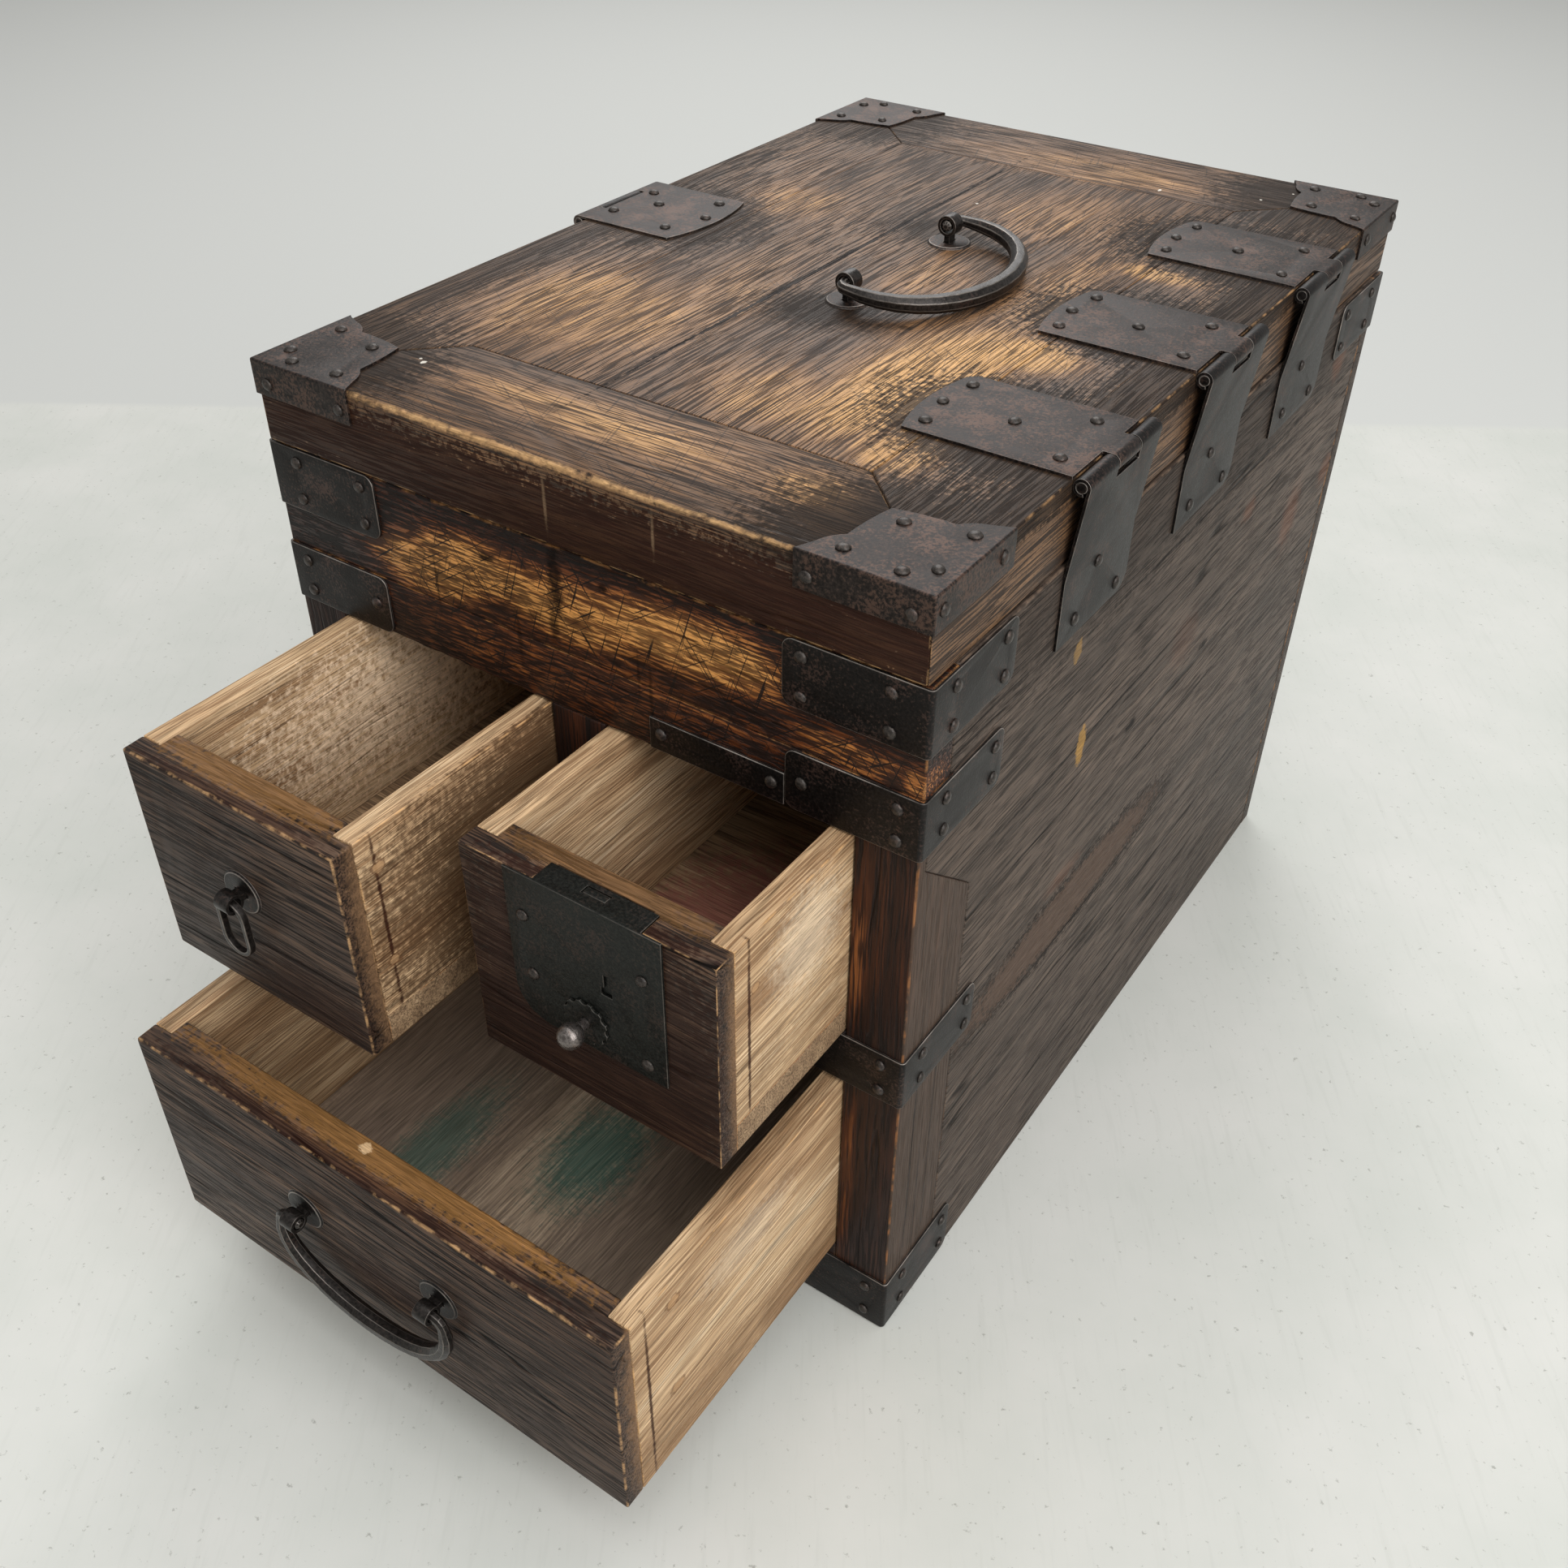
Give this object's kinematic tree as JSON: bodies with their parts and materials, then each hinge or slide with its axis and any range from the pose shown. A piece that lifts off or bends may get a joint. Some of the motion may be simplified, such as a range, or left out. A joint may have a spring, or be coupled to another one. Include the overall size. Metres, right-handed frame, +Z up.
{
  "type": "small tansu chest",
  "caption": "Small iron-bound wooden chest with a lidded top compartment on strap hinges, small drawers above a wide drawer, a lock plate, a ring pull and bail handles.",
  "frame": {"origin": "middle of the underside of the case", "axes": "+Z up; -Y to the front, the way the drawers pull out; +X to the side with the lid's hinges"},
  "size_m": [0.3047, 0.5503, 0.3623],
  "materials": {
    "case_wood": "dark worn varnish",
    "case_front_wood": "dark varnish worn to orange brown",
    "lid_wood": "dark varnish worn to golden brown",
    "inner_wood": "bare, unfinished",
    "drawer_face_wood": "dark worn varnish",
    "drawer_box_wood": "bare, unfinished",
    "sheet_iron": "blackened, rusty",
    "forged_iron": "forged, worn dark"
  },
  "bodies": {
    "carcase": {"side_board_left": "case_wood", "side_board_right": "case_wood", "front_post_left": "case_front_wood", "front_post_right": "case_front_wood", "upper_front_board": "case_front_wood", "top_rail": "case_front_wood", "middle_rail": "case_front_wood", "bottom_rail": "case_front_wood", "divider_post": "case_front_wood", "back_board": "case_wood", "bottom_board": "inner_wood", "drawer_shelf": "inner_wood", "drawer_partition": "inner_wood", "compartment_floor": "inner_wood", "drawer_runners": "inner_wood", "corner_plates": "sheet_iron", "front_straps": "sheet_iron", "striker_plate": "sheet_iron", "hinge_case_leaves": "sheet_iron", "hinge_pins": "forged_iron", "hasp_staple": "sheet_iron", "case_nails": "forged_iron"},
    "lid": {"lid_front_rail": "lid_wood", "lid_rear_rail": "lid_wood", "lid_stile_left": "lid_wood", "lid_stile_right": "lid_wood", "lid_panels": "lid_wood", "lid_corner_plates": "sheet_iron", "hinge_lid_leaves": "sheet_iron", "hasp_leaf": "sheet_iron", "hasp_pin": "forged_iron", "lid_nails": "forged_iron", "lid_handle_posts": "forged_iron", "lid_handle_washers": "sheet_iron"},
    "lid_bail": {"lid_handle": "forged_iron"},
    "hasp": {"hasp": "sheet_iron"},
    "drawer_left": {"drawer_left_front": "drawer_face_wood", "drawer_left_sides": "drawer_box_wood", "drawer_left_back": "drawer_box_wood", "drawer_left_base": "drawer_box_wood", "ring_post": "forged_iron", "ring_washer": "sheet_iron"},
    "ring": {"ring": "forged_iron"},
    "drawer_right": {"drawer_right_front": "drawer_face_wood", "drawer_right_sides": "drawer_box_wood", "drawer_right_back": "drawer_box_wood", "drawer_right_base": "drawer_box_wood", "lock_plate": "sheet_iron", "lock_case": "forged_iron", "lock_nails": "forged_iron", "knob_rosette": "sheet_iron", "drawer_knob": "forged_iron"},
    "lock_bolt": {"lock_bolt": "forged_iron"},
    "drawer_wide": {"drawer_wide_front": "drawer_face_wood", "drawer_wide_sides": "drawer_box_wood", "drawer_wide_back": "drawer_box_wood", "drawer_wide_base": "drawer_box_wood", "pull_posts": "forged_iron", "pull_washers": "sheet_iron"},
    "wide_bail": {"drawer_pull": "forged_iron"}
  },
  "joints": [
    {"name": "lid_hinge", "type": "hinge", "parent": "carcase", "child": "lid", "pos_m": [0.1413, -0.0008, 0.3485], "axis": [0, 1, 0], "range_deg": [0, 175]},
    {"name": "lid_handle_swing", "type": "hinge", "parent": "lid", "child": "lid_bail", "pos_m": [0.0026, 0.003, 0.3581], "axis": [0, -1, 0], "range_deg": [0, 170]},
    {"name": "hasp_swing", "type": "hinge", "parent": "lid", "child": "hasp", "pos_m": [-0.1413, 0.0036, 0.3485], "axis": [0, 1, 0], "range_deg": [-14, 169]},
    {"name": "left_drawer_slide", "type": "slide", "parent": "carcase", "child": "drawer_left", "axis": [0, -1, 0], "range_m": [-0.1038, 0.21]},
    {"name": "right_drawer_slide", "type": "slide", "parent": "carcase", "child": "drawer_right", "axis": [0, -1, 0], "range_m": [-0.074, 0.24]},
    {"name": "wide_drawer_slide", "type": "slide", "parent": "carcase", "child": "drawer_wide", "axis": [0, -1, 0], "range_m": [-0.1328, 0.18]},
    {"name": "ring_swing", "type": "hinge", "parent": "drawer_left", "child": "ring", "pos_m": [-0.0652, -0.3125, 0.213], "axis": [-1, 0, 0], "range_deg": [-8, 160]},
    {"name": "wide_handle_swing", "type": "hinge", "parent": "drawer_wide", "child": "wide_bail", "pos_m": [0.0004, -0.3415, 0.094], "axis": [-1, 0, 0], "range_deg": [-4, 165]},
    {"name": "lock_bolt_slide", "type": "slide", "parent": "drawer_right", "child": "lock_bolt", "axis": [0, 0, 1], "range_m": [0, 0.006]}
  ]
}
